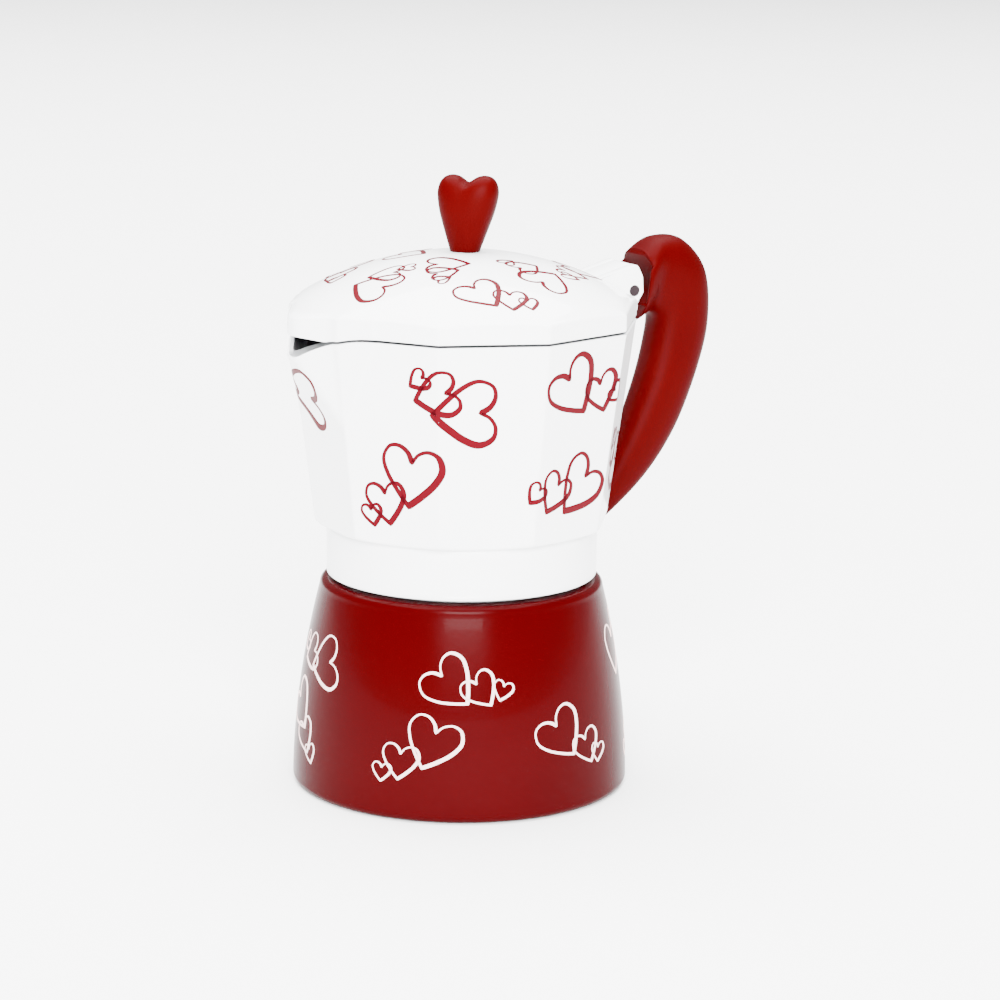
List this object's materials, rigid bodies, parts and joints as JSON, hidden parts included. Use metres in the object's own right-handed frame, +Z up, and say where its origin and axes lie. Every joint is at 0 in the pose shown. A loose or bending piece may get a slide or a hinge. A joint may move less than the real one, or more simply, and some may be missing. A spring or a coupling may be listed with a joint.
{
  "type": "moka pot",
  "caption": "Stovetop moka pot with a round boiler, faceted collector with a spout, hinged lid, curved handle and heart-shaped knob.",
  "frame": {"origin": "centre of the flat underside of the boiler, on the pot's upright axis", "axes": "+Z up along the pot's axis; -X towards the spout; +X towards the handle; the lid's hinge pin lies along Y; the safety valve faces +Y"},
  "size_m": [0.1219, 0.0978, 0.1593],
  "materials": {
    "boiler_red": "glossy deep red enamel",
    "collector_white": "glossy white enamel",
    "handle_red": "semi-matte red moulded plastic",
    "knob_red": "semi-matte red moulded plastic",
    "brass": "turned brass",
    "copper_washer": "soft copper",
    "spring_steel": "drawn wire",
    "basket_metal": "satin pressed sheet",
    "gasket_rubber": "soft white rubber",
    "cast_aluminium": "cast and turned",
    "pin_steel": "dark steel",
    "screw_steel": "zinc-plated steel"
  },
  "bodies": {
    "boiler": {"boiler": "boiler_red", "valve_body": "brass", "valve_washer": "copper_washer", "valve_cap": "brass", "valve_spring": "spring_steel"},
    "valve_pin": {"valve_pin": "brass"},
    "funnel": {"funnel": "basket_metal"},
    "seal": {"gasket": "gasket_rubber", "filter_plate": "basket_metal"},
    "collector": {"collector": "collector_white", "column": "cast_aluminium", "column_cap": "cast_aluminium", "handle": "handle_red", "handle_insert": "brass", "handle_screw": "screw_steel"},
    "lid": {"lid": "collector_white", "hinge_pin": "pin_steel", "knob": "knob_red", "knob_insert": "brass", "knob_screw": "screw_steel", "knob_washer": "screw_steel"}
  },
  "joints": [
    {"name": "valve_vent", "type": "slide", "parent": "boiler", "child": "valve_pin", "axis": [0, 1, 0], "range_m": [0, 0.0015], "stiffness_N_per_m": 1500, "deforming": ["valve_spring"]},
    {"name": "funnel_lift", "type": "slide", "parent": "boiler", "child": "funnel", "axis": [0, 0, 1], "range_m": [0, 0.0055]},
    {"name": "collector_rise", "type": "slide", "parent": "boiler", "child": "seal", "axis": [0, 0, 1], "range_m": [0, 0.0076]},
    {"name": "collector_turn", "type": "hinge", "parent": "seal", "child": "collector", "pos_m": [0, 0, 0.06], "axis": [0, 0, 1], "range_deg": [0, 900]},
    {"name": "lid_hinge", "type": "hinge", "parent": "collector", "child": "lid", "pos_m": [0.0465, 0, 0.1277], "axis": [0, 1, 0], "range_deg": [0, 90]}
  ],
  "couplings": [
    {"joint": "collector_rise", "follows": "collector_turn", "m_per_rad": 0.00047746},
    {"joint": "funnel_lift", "follows": "collector_turn", "m_per_rad": 0.00031831}
  ]
}
